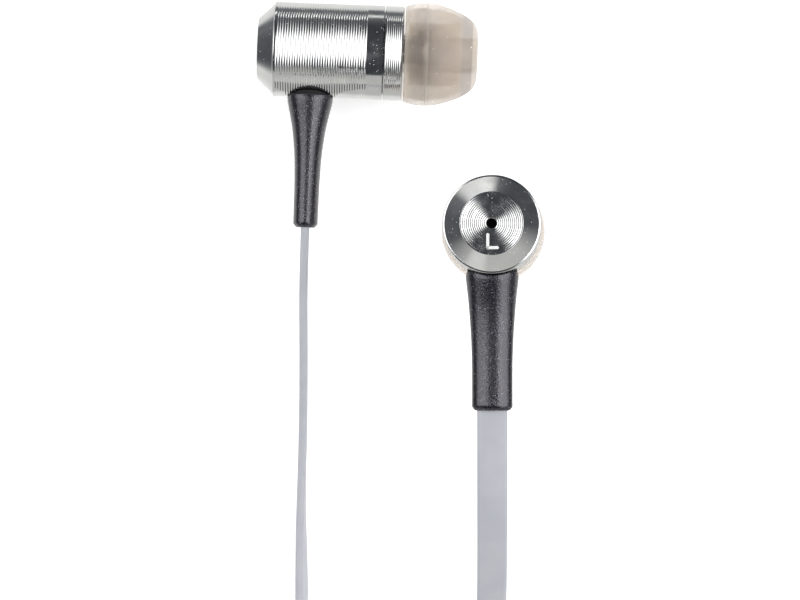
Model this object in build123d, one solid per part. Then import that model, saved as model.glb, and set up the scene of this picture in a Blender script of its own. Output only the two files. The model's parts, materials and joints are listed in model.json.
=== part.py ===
from build123d import *
import math
import os

# Wired in-ear earphones, laid out on a table.
#
# Millimetres, +Z up, the table is z = 0 and the origin is under the middle of the two earbuds.
# The right earbud lies on its side with its nozzle towards +X. The left earbud stands on its ear
# tip, rear face up. The flat cables run towards -Y into a tied hank, where they join.
# Each earbud is built about its own axis: Z runs from its rear face (z = 0) to its ear tip, and
# its cable leaves along -Y.

# ---- driving dimensions -------------------------------------------------------------------------

# shells
BODY_R = 5.3  # turned aluminium body
BORE_R = 4.75  # inside of the rear shell
FACE_R = 3.4  # flat rear face
CHAMFER_Z = 1.85  # axial length of the wide rear chamfer
EDGE = 0.15  # small bright edge where the chamfer meets the body
REAR_WALL = 1.0
CUP_START = (3.1, REAR_WALL)  # radius and height where the inside starts to widen
CUP_WIDE_Z = 2.65  # and where it reaches the bore
VENT_R = 0.55
VENT_CLOTH_R = 1.6
CLOTH_T = 0.15
GROOVES = 36  # lathe grooves on the rear shell
GROOVE_PITCH = 0.283
GROOVE_DEPTH = 0.05
GROOVE_MARGIN = 0.1  # plain strip between the chamfer's edge and the first groove
BAND_END = 14.1  # front edge of the rear shell, after its plain band
RING_START = 14.2  # the front shell starts after a narrow joint line
RING_END = 16.34
RING_GROOVES = 8
RING_PITCH = 0.23
RING_DEPTH = 0.04
RING_MARGIN = 0.12  # plain strip on both sides of the fine grooves
SPIGOT_R = 4.7
SPIGOT_Z = 12.65
FRONT_BORE_R = 4.1  # inside of the front shell, as far as FRONT_BORE_Z
FRONT_BORE_Z = 14.6
SOUND_Z = 15.6  # where the inside has narrowed to the sound hole

# sound nozzle and ear tip
NECK_R = 2.3
COLLAR_R = 2.75
COLLAR_Z = 17.8
COLLAR_LONG = 0.7
NOZZLE_END = 19.3
NOZZLE_LEAD = 0.15  # axial length of the chamfer at the nozzle's end
NOZZLE_LEAD_R = 0.2
SOUND_R = 1.75
MESH_Z = 18.85
MESH_T = 0.15
MESH_HOLE_R = 0.22
MESH_PITCH = 0.45
MESH_COUNT = 3  # holes each way
TIP_R = 5.75
TIP_START = 16.45
TIP_END = 24.85
TIP_WALL = 0.55
TIP_BORE_R = 2.82  # slides over the collar
TIP_MOUTH_R = 1.95
TIP_MOUTH_Z = 24.45
SLEEVE_R = 3.5
SLEEVE_START = 0.45  # the sleeve starts this far in from the skirt's rim
SLEEVE_TOP = 22.2
SEAT_GAP = 0.15  # between the nozzle's end and the tip's inner step
# (radius, height) points on the outside of the skirt, and the fold and widest point inside it
TIP_BACK = (TIP_R - 0.4, TIP_START)
TIP_WIDEST = (TIP_R, 18.5)
TIP_SHOULDER = (5.2, 21.75)
TIP_LIP = (3.75, 24.3)
TIP_NOSE = (2.7, TIP_END)
HOLLOW_FOLD = (4.25, 22.75)
HOLLOW_WIDEST = (TIP_R - TIP_WALL, 18.6)

# strain relief
BOOT_Z = 6.05  # boot axis, measured from the rear face
BOOT_END = 20.0  # boot end, measured from the earbud's axis
BOOT_GAP = 0.08  # from the shell to the saddle
HOLE_R = 1.75
HOLE_SPAN = (3.0, 6.0)  # measured from the earbud's axis, like the next two
NECK_SPAN = (3.8, 6.2)
NECK_GAP = 0.05
FLANGE_SPAN = (3.5, 4.05)
FLANGE_R = 2.3
# distance from the earbud's axis, width across the earbud's axis, width along it
BOOT_SECTIONS = (
    (4.0, 5.9, 5.7),
    (5.6, 5.8, 5.2),
    (7.5, 5.3, 4.35),
    (9.2, 5.0, 3.65),
    (12.0, 4.6, 3.05),
    (15.0, 4.4, 2.82),
    (BOOT_END, 4.4, 2.75),
)

# side letter, a shallow white inlay in the rear face
MARK_TOP = 1.05  # below the vent hole's centre
MARK_TALL = 1.72
MARK_WIDE = 1.35
MARK_SHIFT = 0.1  # to the letter's right
MARK_WAIST = 0.42  # height of the middle bar, as a share of the letter's
MARK_LEG = 0.85  # how far along the middle bar the slanted leg starts
MARK_STROKE = 0.33
MARK_DEEP = 0.05
MARK_PROUD = 0.01

# cable end inside the shell, about the boot's axis
KNOT_Y = -2.2
KNOT_R = 1.2
STUB_R = 0.7
STUB_SPAN = (2.2, 3.5)
LEAD_R = 0.15
LEAD_START = (0.5, 0.8)  # sideways from the axis, and above it
LEAD_MIDDLE = (0.95, 7.5)  # sideways, and height in the shell
LEAD_END_X = 1.1

# driver, from its terminal board forwards
BOARD_Z = 8.1
BOARD_R = 2.7
BOARD_T = 0.4
BOARD_FLAT_Y = 2.0
YOKE_Z = 8.6
YOKE_R = 3.2
YOKE_LONG = 2.4
YOKE_WALL = 0.3
YOKE_BASE = 0.4
MAGNET_R = 2.2
MAGNET_LONG = 1.4
POLE_R = 2.3
POLE_LONG = 0.55
COIL_IN_R = 2.45
COIL_OUT_R = 2.75
COIL_Z = 10.0
CONE_Z = 11.55  # where the coil meets the diaphragm
DOME_R = 2.85
DOME_HIGH = 0.5
FILM = 0.08
SURROUND_IN_R = 2.98
SURROUND_OUT_R = 4.5
ROLL_R = 0.45
FRAME_Z = 9.4
FRAME_STEP_Z = 10.2  # the frame's inside widens here
FRAME_IN_R = 4.1
COVER_Z = 12.45
COVER_T = 0.15
COVER_HOLE_R = 0.6
COVER_RING = (2.4, 6, 0.5)  # radius, number and hole radius of the ring of holes
THROUGH = 60.0  # longer than anything that it cuts

# where each earbud's rear face is, and how it is turned
RIGHT_AT = (-16.04, 17.59, TIP_R + 0.004)
RIGHT_TURN = math.radians(2.2)
LEFT_AT = (9.67, -2.63, 24.966)
LEFT_LEAN_X = 0.040
LEFT_LEAN_Y = -0.025

# flat cable
CABLE_W = 3.3
CABLE_T = 0.9

# hank: a flat winding with the cable on edge, resting on its tie
TIE_T = 0.6
CABLE_Z = TIE_T + CABLE_W / 2  # middle of the cable in the hank
HANK_X = -7.68
HANK_TOP = -76.0  # the straight runs lie between these two
HANK_BOTTOM = -136.0
LANE_R = 17.9  # outermost lane, measured from the hank's middle line
LANE = 1.2  # from one lane to the next
ENTRY_Y = -78.0  # where the two branches join the winding
LEFT_LANE_X = HANK_X + LANE_R  # the left branch takes the outermost lane
RIGHT_LANE_X = LEFT_LANE_X - LANE
TWIST_Y = -62.0  # the left branch turns from flat to on edge between these two
TWIST_END_Y = -72.5
RIGHT_LANES = 8.5  # how far the lanes reach inwards on each side of the hank
LEFT_LANES = 6.0
TIE_Y = -93.0
TIE_WIDE = 6.0

SPLIT_Y = (-112.0, -126.0)
SPLIT_LANE = 3.0
SPLIT_WIDE = 2.7
SPLIT_TALL = 4.2
SPLIT_ROUND = 0.6

# 3.5 mm plug, lying on the hank with its pin over the lower fold, towards -Y
PLUG_R = 1.75
PLUG_LONG = 14.0
BARREL_R = 3.0
BARREL_LONG = 15.0
BARREL_CHAMFER = 0.35
PLUG_BOOT_LONG = 12.0
PLUG_BOOT_R = 2.55  # at the barrel
PLUG_BOOT_OVAL = (1.3, 2.3)  # half widths where the cable enters
LAY_GAP = 0.05  # between the barrel and the hank that it lies on
PLUG_AT = (HANK_X + LANE_R - RIGHT_LANES, HANK_BOTTOM - 8.5, TIE_T + CABLE_W + BARREL_R + LAY_GAP)
SOCKET = 2.0  # how far the contacts reach into the barrel
SHOULDER_R = 2.2  # the sleeve contact's shoulder, which sits in the barrel
SLEEVE_END = 6.0
RING_FROM = 6.7
RING_TO = 9.0
TIP_FROM = 9.7
CORE_R = 0.4  # the tip contact's core, and the tubes around it
FRONT_TUBE_R = 0.65
RING_TUBE_R = 0.9
REAR_TUBE_R = 1.25
# (radius, height) points of the tip contact, from its shoulder to its end
PIN_HEAD = ((PLUG_R, 10.4), (1.25, 10.9), (1.25, 11.2), (1.65, 12.0), (0.5, 13.8), (0, PLUG_LONG))

# routes of the free stretches, as corner points
RIGHT_ROUTE = (
    (-10.762, -2.628, RIGHT_AT[2]),
    (-11.012, -9.123, RIGHT_AT[2]),
    (-10.96, -17.0, 4.6),
    (-11.08, -25.5, 2.9),
    (-11.38, -34.5, 1.85),
    (-11.30, -42.0, 1.72),
    (-11.28, -49.5, 1.75),
    (-9.32, -54.0, 1.85),
    (-5.73, -57.4, 1.98),
    (0.28, -59.6, 2.10),
    (5.94, -64.95, 2.20),
    (RIGHT_LANE_X, -72.1, CABLE_Z),
    (RIGHT_LANE_X, ENTRY_Y, CABLE_Z),
)
LEFT_ROUTE = (
    (9.912, -22.775, 19.423),
    (9.912, -29.373, 19.588),
    (9.97, -36.2, 17.6),
    (10.07, -42.0, 13.1),
    (10.12, -47.3, 8.0),
    (10.20, -52.0, 4.0),
    (LEFT_LANE_X, -57.5, CABLE_Z),
    (LEFT_LANE_X, TWIST_Y, CABLE_Z),
)
MAIN_ROUTE = (
    (PLUG_AT[0], HANK_TOP, CABLE_Z),
    (PLUG_AT[0], -83.0, CABLE_Z),
    (PLUG_AT[0] - 0.20, -90.5, CABLE_Z),
    (PLUG_AT[0] - 0.12, -98.5, CABLE_Z),
    (PLUG_AT[0] - 0.04, -103.5, 3.4),
    (PLUG_AT[0], -108.5, 5.6),
    (PLUG_AT[0], -113.0, PLUG_AT[2]),
    (PLUG_AT[0], PLUG_AT[1] + BARREL_LONG + PLUG_BOOT_LONG, PLUG_AT[2]),
)


# ---- helpers ------------------------------------------------------------------------------------


def lathe(points):
    """The solid turned about Z from a closed outline of (radius, height) points."""
    outline = Polyline(*[(r, 0, z) for r, z in points], close=True)
    return revolve(Face(outline), Axis.Z)


def turned(sketch):
    """The solid turned about Z from a sketch drawn in (radius, height)."""
    return revolve(Plane.XZ * sketch, Axis.Z)


def ring(inner, outer, low, high):
    """A plain tube about Z, or a disc where inner is 0."""
    return lathe([(inner, low), (outer, low), (outer, high), (inner, high)])


def grooves(radius, start, count, pitch, depth):
    """The zigzag of V grooves along a turned surface."""
    points = []
    for i in range(count):
        points.append((radius, start + i * pitch))
        points.append((radius - depth, start + (i + 0.5) * pitch))
    return points + [(radius, start + count * pitch)]


def radial(radius, near, far):
    """A cylinder along -Y on the boot's axis, from near to far off the earbud's axis."""
    middle = Pos(0, -(near + far) / 2, BOOT_Z)
    return middle * Rot(90, 0, 0) * Cylinder(radius, far - near)


# ---- one earbud, about its own axis -------------------------------------------------------------


def stroke(left, low, wide, tall):
    """One bar of the side letter; left is measured as the letter is read, from behind."""
    deep = MARK_DEEP + MARK_PROUD
    middle = Pos(-(left + wide / 2), low + tall / 2, MARK_DEEP - deep / 2)
    return middle * Box(wide, tall, deep)


def side_mark(side):
    left = -MARK_WIDE / 2 + MARK_SHIFT
    low = -MARK_TOP - MARK_TALL
    mark = stroke(left, low, MARK_STROKE, MARK_TALL)
    if side == "left":
        return mark + stroke(left, low, MARK_WIDE, MARK_STROKE)
    waist = low + MARK_TALL * MARK_WAIST
    leg = (MARK_WIDE - MARK_STROKE) * MARK_LEG
    mark += stroke(left, low + MARK_TALL - MARK_STROKE, MARK_WIDE, MARK_STROKE)
    mark += stroke(left, waist, MARK_WIDE, MARK_STROKE)
    mark += stroke(left + MARK_WIDE - MARK_STROKE, waist, MARK_STROKE, MARK_TALL * (1 - MARK_WAIST))
    return mark + stroke(left + leg, low, MARK_STROKE, MARK_TALL * MARK_WAIST)


def rear_shell(mark):
    groove_start = CHAMFER_Z + EDGE + GROOVE_MARGIN
    outside = [(VENT_R, 0), (FACE_R, 0), (BODY_R - EDGE, CHAMFER_Z), (BODY_R, CHAMFER_Z + EDGE)]
    outside += grooves(BODY_R, groove_start, GROOVES, GROOVE_PITCH, GROOVE_DEPTH)
    outside += [(BODY_R, BAND_END)]
    inside = [(BORE_R, BAND_END), (BORE_R, CUP_WIDE_Z), CUP_START, (VENT_R, REAR_WALL)]
    return lathe(outside + inside) - radial(HOLE_R, *HOLE_SPAN) - mark


def front_shell():
    groove_start = RING_START + RING_MARGIN
    outside = [(SPIGOT_R, SPIGOT_Z), (SPIGOT_R, RING_START), (BODY_R, RING_START)]
    outside += grooves(BODY_R, groove_start, RING_GROOVES, RING_PITCH, RING_DEPTH)
    outside += [(BODY_R, RING_END - RING_MARGIN), (BODY_R - RING_MARGIN, RING_END)]
    nozzle = [(NECK_R, RING_END), (NECK_R, COLLAR_Z), (COLLAR_R, COLLAR_Z)]
    nozzle += [(COLLAR_R, COLLAR_Z + COLLAR_LONG), (NECK_R, NOZZLE_END - NOZZLE_LEAD)]
    nozzle += [(NECK_R - NOZZLE_LEAD_R, NOZZLE_END)]
    inside = [(SOUND_R, NOZZLE_END), (SOUND_R, SOUND_Z)]
    inside += [(FRONT_BORE_R, FRONT_BORE_Z), (FRONT_BORE_R, SPIGOT_Z)]
    return lathe(outside + nozzle + inside)


def ear_tip():
    """Soft tip: a skirt folded back over a central sleeve."""
    back, widest, shoulder, lip, nose, fold, hollow_widest = (
        (radius, 0, height)
        for radius, height in (
            TIP_BACK,
            TIP_WIDEST,
            TIP_SHOULDER,
            TIP_LIP,
            TIP_NOSE,
            HOLLOW_FOLD,
            HOLLOW_WIDEST,
        )
    )
    skirt = Spline(back, widest, shoulder, lip, tangents=((0.35, 0, 1), (-0.7, 0, 0.8)))
    mouth = (TIP_MOUTH_R, 0, TIP_MOUTH_Z)
    front = Spline(lip, nose, mouth, tangents=((-0.7, 0, 0.8), (0, 0, -1)))
    seat = NOZZLE_END + SEAT_GAP
    sleeve_end = (SLEEVE_R, 0, SLEEVE_TOP)
    bore = Polyline(
        mouth,
        (TIP_MOUTH_R, 0, seat),
        (TIP_BORE_R, 0, seat),
        (TIP_BORE_R, 0, TIP_START + SLEEVE_START),
        (SLEEVE_R, 0, TIP_START + SLEEVE_START),
        sleeve_end,
    )
    inner = (TIP_BACK[0] - TIP_WALL, 0, TIP_START)
    hollow = Spline(sleeve_end, fold, hollow_widest, inner, tangents=((0, 0, 1), (-0.35, 0, -1)))
    rim = Line(inner, back)
    return revolve(Face(Wire([skirt, front, *bore.edges(), hollow, rim])), Axis.Z)


def boot():
    """Oval strain relief with a saddle that follows the body, a neck and an anchor flange."""
    outline = Sketch()
    for far, wide, thin in BOOT_SECTIONS:
        plane = Plane(origin=(0, -far, BOOT_Z), x_dir=(1, 0, 0), z_dir=(0, -1, 0))
        outline += plane * Ellipse(wide / 2, thin / 2)
    sleeve = loft(outline) - Cylinder(BODY_R + BOOT_GAP, THROUGH)
    neck = radial(HOLE_R - NECK_GAP, *NECK_SPAN)
    flange = radial(FLANGE_R, *FLANGE_SPAN)
    return sleeve + neck + flange


def cable_knot():
    """The cable's end inside the housing: stub, knot and the two leads to the board."""
    body = Pos(0, KNOT_Y, BOOT_Z) * Sphere(KNOT_R) + radial(STUB_R, *STUB_SPAN)
    for side in (-1, 1):
        start = (side * LEAD_START[0], KNOT_Y, BOOT_Z + LEAD_START[1])
        middle = (side * LEAD_MIDDLE[0], KNOT_Y, LEAD_MIDDLE[1])
        path = ThreePointArc(start, middle, (side * LEAD_END_X, KNOT_Y, BOARD_Z))
        body += sweep(Plane(start, z_dir=path % 0) * Circle(LEAD_R), path=path)
    return body


def driver():
    """The moving-coil driver's parts, by name."""
    magnet_z = YOKE_Z + YOKE_BASE
    pole_z = magnet_z + MAGNET_LONG
    yoke_end = YOKE_Z + YOKE_LONG
    cup = [(0, YOKE_Z), (YOKE_R, YOKE_Z), (YOKE_R, yoke_end), (YOKE_R - YOKE_WALL, yoke_end)]
    cup += [(YOKE_R - YOKE_WALL, magnet_z), (0, magnet_z)]
    frame = [(YOKE_R, FRAME_Z), (SPIGOT_R, FRAME_Z), (SPIGOT_R, COVER_Z), (SURROUND_OUT_R, COVER_Z)]
    frame += [(SURROUND_OUT_R, CONE_Z - FILM), (FRAME_IN_R, CONE_Z - FILM)]
    frame += [(FRAME_IN_R, FRAME_STEP_Z), (YOKE_R, FRAME_STEP_Z)]
    cover = ring(0, SPIGOT_R, COVER_Z, COVER_Z + COVER_T) - Cylinder(COVER_HOLE_R, THROUGH)
    ring_r, ring_count, hole_r = COVER_RING
    for place in PolarLocations(ring_r, ring_count):
        cover -= place * Cylinder(hole_r, THROUGH)
    board = ring(0, BOARD_R, BOARD_Z, BOARD_Z + BOARD_T)
    board -= Pos(0, BOARD_FLAT_Y + BOARD_R / 2, BOARD_Z) * Box(2 * BOARD_R, BOARD_R, THROUGH)
    return {
        "terminal_board": board,
        "driver_yoke": lathe(cup),
        "driver_magnet": ring(0, MAGNET_R, magnet_z, pole_z),
        "driver_pole_plate": ring(0, POLE_R, pole_z, pole_z + POLE_LONG),
        "driver_frame": lathe(frame),
        "voice_coil": ring(COIL_IN_R, COIL_OUT_R, COIL_Z, CONE_Z),
        "diaphragm": dome(),
        "diaphragm_surround": surround(),
        "driver_cover": cover,
    }


def dome():
    """Domed film with a flat rim that the voice coil is bonded to."""
    cap_r = (COIL_IN_R**2 + DOME_HIGH**2) / (2 * DOME_HIGH)
    middle = Pos(0, CONE_Z + DOME_HIGH - cap_r)
    film = middle * (Circle(cap_r + FILM) - Circle(cap_r))
    film &= Pos(COIL_IN_R / 2, CONE_Z + 1) * Rectangle(COIL_IN_R, 2)
    wide = DOME_R - COIL_IN_R + FILM
    film += Pos(DOME_R - wide / 2, CONE_Z + FILM / 2) * Rectangle(wide, FILM)
    return turned(film)


def surround():
    """Fixed half-roll ring between the dome and the frame."""
    middle = (SURROUND_IN_R + SURROUND_OUT_R) / 2
    roll = Pos(middle, CONE_Z) * (Circle(ROLL_R) - Circle(ROLL_R - FILM))
    roll &= Pos(middle, CONE_Z + ROLL_R / 2 - FILM / 2) * Rectangle(3 * ROLL_R, ROLL_R + FILM)
    wide = middle - ROLL_R + FILM - SURROUND_IN_R
    flats = Rectangle(wide, FILM)
    low = CONE_Z - FILM / 2
    roll += Pos(SURROUND_IN_R + wide / 2, low) * flats + Pos(SURROUND_OUT_R - wide / 2, low) * flats
    return turned(roll)


def nozzle_mesh():
    """Disc of round holes near the nozzle's end."""
    mesh = ring(0, SOUND_R, MESH_Z, MESH_Z + MESH_T)
    for place in HexLocations(MESH_PITCH, MESH_COUNT, MESH_COUNT):
        mesh -= place * Cylinder(MESH_HOLE_R, THROUGH)
    return mesh


def earbud(side):
    mark = side_mark(side)
    pieces = {
        "side_mark": mark,
        "rear_shell": rear_shell(mark),
        "front_shell": front_shell(),
        "vent_cloth": ring(0, VENT_CLOTH_R, REAR_WALL, REAR_WALL + CLOTH_T),
        "nozzle_mesh": nozzle_mesh(),
        "ear_tip": ear_tip(),
        "boot": boot(),
        "cable_knot": cable_knot(),
    }
    pieces.update(driver())
    return pieces


def right_place():
    s, c = math.sin(RIGHT_TURN), math.cos(RIGHT_TURN)
    return Plane(origin=RIGHT_AT, x_dir=(0, 0, -1), z_dir=(c, -s, 0)).location


def left_place():
    down = Vector(LEFT_LEAN_X, LEFT_LEAN_Y, -1).normalized()
    across = Vector(0, 1, LEFT_LEAN_Y).cross(down).normalized()
    return Plane(origin=LEFT_AT, x_dir=across, z_dir=down).location


# ---- cable --------------------------------------------------------------------------------------


def smooth_path(route):
    """Straight runs joined by tangent arcs, each as large as its two runs allow."""
    points = [Vector(*p) for p in route]
    radii = []
    for a, b, c in zip(points, points[1:], points[2:]):
        turn = math.radians((b - a).get_angle(c - b))
        radii.append(0.45 * min((b - a).length, (c - b).length) / math.tan(turn / 2))
    print("  radii", [round(r, 1) for r in radii])
    return FilletPolyline(*points, radius=radii)


def flat_tube(name, route, wide_dir):
    """A flat cable along a route; wide_dir is the way its wide side lies at the start."""
    print(name)
    path = smooth_path(route)
    section = Plane(origin=path @ 0, x_dir=wide_dir, z_dir=path % 0) * Rectangle(CABLE_W, CABLE_T)
    tube = sweep(section, path=path)
    ideal = CABLE_W * CABLE_T * path.length
    print(f"  length {path.length:.1f}, volume {tube.volume:.1f}, section times length {ideal:.1f}")
    return tube


def twist():
    """The left branch turning from flat to on edge, then straight into the hank."""
    steps = 6
    sections = Sketch()
    for i in range(steps + 1):
        y = TWIST_Y + (TWIST_END_Y - TWIST_Y) * i / steps
        place = Plane(origin=(LEFT_LANE_X, y, CABLE_Z), x_dir=(1, 0, 0), z_dir=(0, -1, 0))
        sections += place * Rot(0, 0, 90 * i / steps) * Rectangle(CABLE_W, CABLE_T)
    straight = TWIST_END_Y - ENTRY_Y
    middle = Pos(LEFT_LANE_X, TWIST_END_Y - straight / 2, CABLE_Z)
    return loft(sections) + middle * Box(CABLE_T, straight, CABLE_W)


def lane(side, offset):
    """X of a lane's outer or inner edge, on the hank's right (+1) or left (-1) side."""
    return HANK_X + side * (LANE_R - offset)


def fold(left_x, right_x):
    """The half-turn between two X values, as a full circle's middle and radius."""
    return (left_x + right_x) / 2, (right_x - left_x) / 2


def hank():
    """Outer shape of the winding: two bunches of straight runs and the folds that join them."""
    half = CABLE_T / 2
    out_l, in_l = lane(-1, -half), lane(-1, LEFT_LANES + half)
    out_r, in_r = lane(1, -half), lane(1, RIGHT_LANES + half)
    pair_r = lane(1, 2 * LANE - half)
    last_in_r = in_r + LANE
    top_out, top_in = fold(out_l, pair_r), fold(in_l, in_r)
    low_out, low_in = fold(out_l, out_r), fold(in_l, last_in_r)
    wide = 4 * LANE_R
    above = Pos(HANK_X, HANK_TOP + wide / 2) * Rectangle(wide, wide)
    below = Pos(HANK_X, HANK_BOTTOM - wide / 2) * Rectangle(wide, wide)
    top = Pos(top_out[0], HANK_TOP) * Circle(top_out[1]) - Pos(top_in[0], HANK_TOP) * Circle(top_in[1])
    low = Pos(low_out[0], HANK_BOTTOM) * Circle(low_out[1])
    low -= Pos(low_in[0], HANK_BOTTOM) * Circle(low_in[1])
    plan = (top & above) + (low & below)
    plan += bunch(out_l, in_l, HANK_TOP) + bunch(last_in_r, pair_r, HANK_TOP) + bunch(pair_r, out_r, ENTRY_Y)
    return Pos(0, 0, TIE_T) * extrude(plan, CABLE_W) - split_box(SPLIT_TALL)


def bunch(left_x, right_x, top_y):
    """Straight runs of the winding, in plan."""
    middle = ((left_x + right_x) / 2, (top_y + HANK_BOTTOM) / 2)
    return Pos(*middle) * Rectangle(right_x - left_x, top_y - HANK_BOTTOM)


def split_box(tall):
    long = SPLIT_Y[0] - SPLIT_Y[1]
    return Pos(lane(1, SPLIT_LANE), sum(SPLIT_Y) / 2, CABLE_Z) * Box(SPLIT_WIDE, long, tall)


def y_split():
    """Moulding where the two branches join the main cable."""
    body = split_box(SPLIT_TALL)
    return fillet(body.edges().filter_by(Axis.Y), SPLIT_ROUND)


def cable_tie():
    """Flat band round the whole hank; the hank rests on it."""
    wide = 2 * LANE_R + CABLE_T
    inner = Rectangle(wide, CABLE_W)
    outer = RectangleRounded(wide + 2 * TIE_T, CABLE_W + 2 * TIE_T, TIE_T)
    plane = Plane(origin=(HANK_X, TIE_Y + TIE_WIDE / 2, CABLE_Z), x_dir=(1, 0, 0), z_dir=(0, -1, 0))
    return extrude(plane * (outer - inner), TIE_WIDE)


def plug():
    """3.5 mm plug about Z: its barrel's face is z = 0 and its pin points to +Z."""
    head = [(0, -SOCKET), (CORE_R, -SOCKET), (CORE_R, TIP_FROM), (PLUG_R, TIP_FROM), *PIN_HEAD]
    barrel = ring(0, BARREL_R, -BARREL_LONG, 0)
    barrel = chamfer(barrel.edges().filter_by(GeomType.CIRCLE), BARREL_CHAMFER)
    barrel -= ring(0, SHOULDER_R, -SOCKET, SOCKET)
    entry = Pos(0, 0, -BARREL_LONG - PLUG_BOOT_LONG) * Ellipse(*PLUG_BOOT_OVAL)
    relief = loft(Sketch() + entry + Pos(0, 0, -BARREL_LONG) * Circle(PLUG_BOOT_R))
    sleeve = ring(REAR_TUBE_R, PLUG_R, -SOCKET, SLEEVE_END)
    return {
        "plug_sleeve": sleeve + ring(REAR_TUBE_R, SHOULDER_R, -SOCKET, 0),
        "plug_insulator_rear": insulator(RING_TUBE_R, REAR_TUBE_R, SLEEVE_END, RING_FROM),
        "plug_ring": insulator(FRONT_TUBE_R, RING_TUBE_R, RING_FROM, RING_TO),
        "plug_insulator_front": insulator(CORE_R, FRONT_TUBE_R, RING_TO, TIP_FROM),
        "plug_tip": lathe(head),
        "plug_barrel": barrel,
        "plug_boot": relief,
    }


def insulator(inner, tube, low, high):
    """A full-width ring from low to high on a thin tube that reaches back into the barrel."""
    return ring(inner, tube, -SOCKET, low) + ring(inner, PLUG_R, low, high)


# ---- all nodes ----------------------------------------------------------------------------------


def nodes():
    found = {}
    for side, place in (("right", right_place()), ("left", left_place())):
        for name, piece in earbud(side).items():
            found[f"{side}_{name}"] = place * piece
    found["right_cable"] = flat_tube("right branch", RIGHT_ROUTE, (0, 0, 1))
    found["left_cable"] = flat_tube("left branch", LEFT_ROUTE, (1, 0, 0))
    found["left_cable_twist"] = twist()
    found["main_cable"] = flat_tube("main cable", MAIN_ROUTE, (0, 0, 1))
    found["cable_hank"] = hank()
    found["cable_tie"] = cable_tie()
    found["y_split"] = y_split()
    place = Plane(origin=PLUG_AT, x_dir=(1, 0, 0), z_dir=(0, -1, 0)).location
    for name, piece in plug().items():
        found[name] = place * piece
    return found


os.makedirs("parts", exist_ok=True)
for node, shape in nodes().items():
    export_step(shape, f"parts/{node}.step")
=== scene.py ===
import json
import math
import random

import bmesh
import bpy
import numpy as np
from mathutils import Matrix, Vector


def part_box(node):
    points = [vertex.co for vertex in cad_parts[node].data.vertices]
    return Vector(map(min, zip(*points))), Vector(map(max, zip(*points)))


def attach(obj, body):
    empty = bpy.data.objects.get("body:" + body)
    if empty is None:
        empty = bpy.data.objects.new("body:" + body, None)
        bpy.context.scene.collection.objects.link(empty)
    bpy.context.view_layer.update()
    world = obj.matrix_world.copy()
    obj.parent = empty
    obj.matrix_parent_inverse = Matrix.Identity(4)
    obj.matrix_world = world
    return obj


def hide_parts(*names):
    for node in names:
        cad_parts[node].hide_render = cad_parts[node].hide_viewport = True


# Wired in-ear earphones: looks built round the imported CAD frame.
#
# Blender works in metres. The sizes below are in millimetres and MM turns them into metres.
# Each earbud is modelled about its own axis: Z runs from its rear face (z = 0) to its ear tip,
# and its cable leaves along -Y.

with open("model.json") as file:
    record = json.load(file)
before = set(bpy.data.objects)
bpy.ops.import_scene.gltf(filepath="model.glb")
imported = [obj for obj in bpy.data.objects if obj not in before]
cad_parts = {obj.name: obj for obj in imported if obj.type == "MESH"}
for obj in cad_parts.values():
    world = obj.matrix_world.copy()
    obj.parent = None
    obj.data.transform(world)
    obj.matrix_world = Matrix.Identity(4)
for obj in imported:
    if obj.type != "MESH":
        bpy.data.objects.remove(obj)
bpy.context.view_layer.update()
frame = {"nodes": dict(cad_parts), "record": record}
MM = 0.001

# ---- sizes, in millimetres --------------------

SEGMENTS = 160  # round the turned pieces
TIP_SEGMENTS = 96  # round an ear tip

# places of the earbuds, in metres
CANAL_Z = 0.020  # the ear canal's mount, from the rear face
LEFT_LEAN = -0.025  # slope of the left earbud's own Y axis

# turned shells
BODY_R = 5.3
BORE_R = 4.75
FACE_R = 3.4
FACE_EDGE = (0.03, 0.012)  # small bevel at the rear face's rim: its width and its drop
CHAMFER_Z = 1.85
LEDGE = 0.07  # width of the narrow ledge between the chamfer and the rounded edge
LEDGE_Z = (CHAMFER_Z - 0.074, CHAMFER_Z - 0.06)
EDGE = 0.15  # radius of the rounded edge
EDGE_Z = CHAMFER_Z - 0.055
REAR_WALL = 1.0
VENT_R = 0.55
VENT_EDGE = 0.04
FACE_RINGS = 13
FACE_RING_GAP = 0.06  # from the vent's edge to the first ring
FACE_MARGIN = 0.1  # what the rings leave free of the face's width
FACE_RING_DEPTH = 0.018
FACE_RING_SHARES = (0.29, 0.31, 0.60)  # where a ring's root starts and ends, and where the ring ends
GROOVE_START = 2.1
GROOVES = 36
GROOVE_PITCH = 0.283
GROOVE_DEPTH = 0.042
CREST = 0.11  # half width of the flat crest between two grooves, as a share of their pitch
ROOT = 0.01  # half width of a groove's flat root
BAND_START = GROOVE_START + GROOVES * GROOVE_PITCH + 0.02
BAND_END = 14.1
BAND_EDGE = 0.05
BORE_START = 2.65
BORE_FLOOR_R = 3.1
RING_START = 14.2
RING_END = 16.34
RING_EDGE = 0.03
RING_MARGIN = 0.12  # plain stretch before the rings, and the bevel after them
RING_GROOVES = 8
RING_PITCH = 0.23
RING_DEPTH = 0.036
SPIGOT_R = 4.7
SPIGOT_Z = 12.65
SPIGOT_STEP = 0.14
NECK_R = 2.3
COLLAR_R = 2.75
COLLAR_Z = 17.8
COLLAR_EDGE = 0.08
COLLAR_FLAT = 0.62  # end of the collar's straight side, above its start
COLLAR_LONG = 0.75
COLLAR_TAPER = 0.1
NOZZLE_END = 19.3
NOZZLE_LEAD = 0.15
NOZZLE_LEAD_R = 0.2
SOUND_R = 1.75
CAVITY_R = 4.1  # room in front of the driver, which narrows to the sound hole
CAVITY_END = 14.6
FUNNEL_END = 15.6

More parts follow.
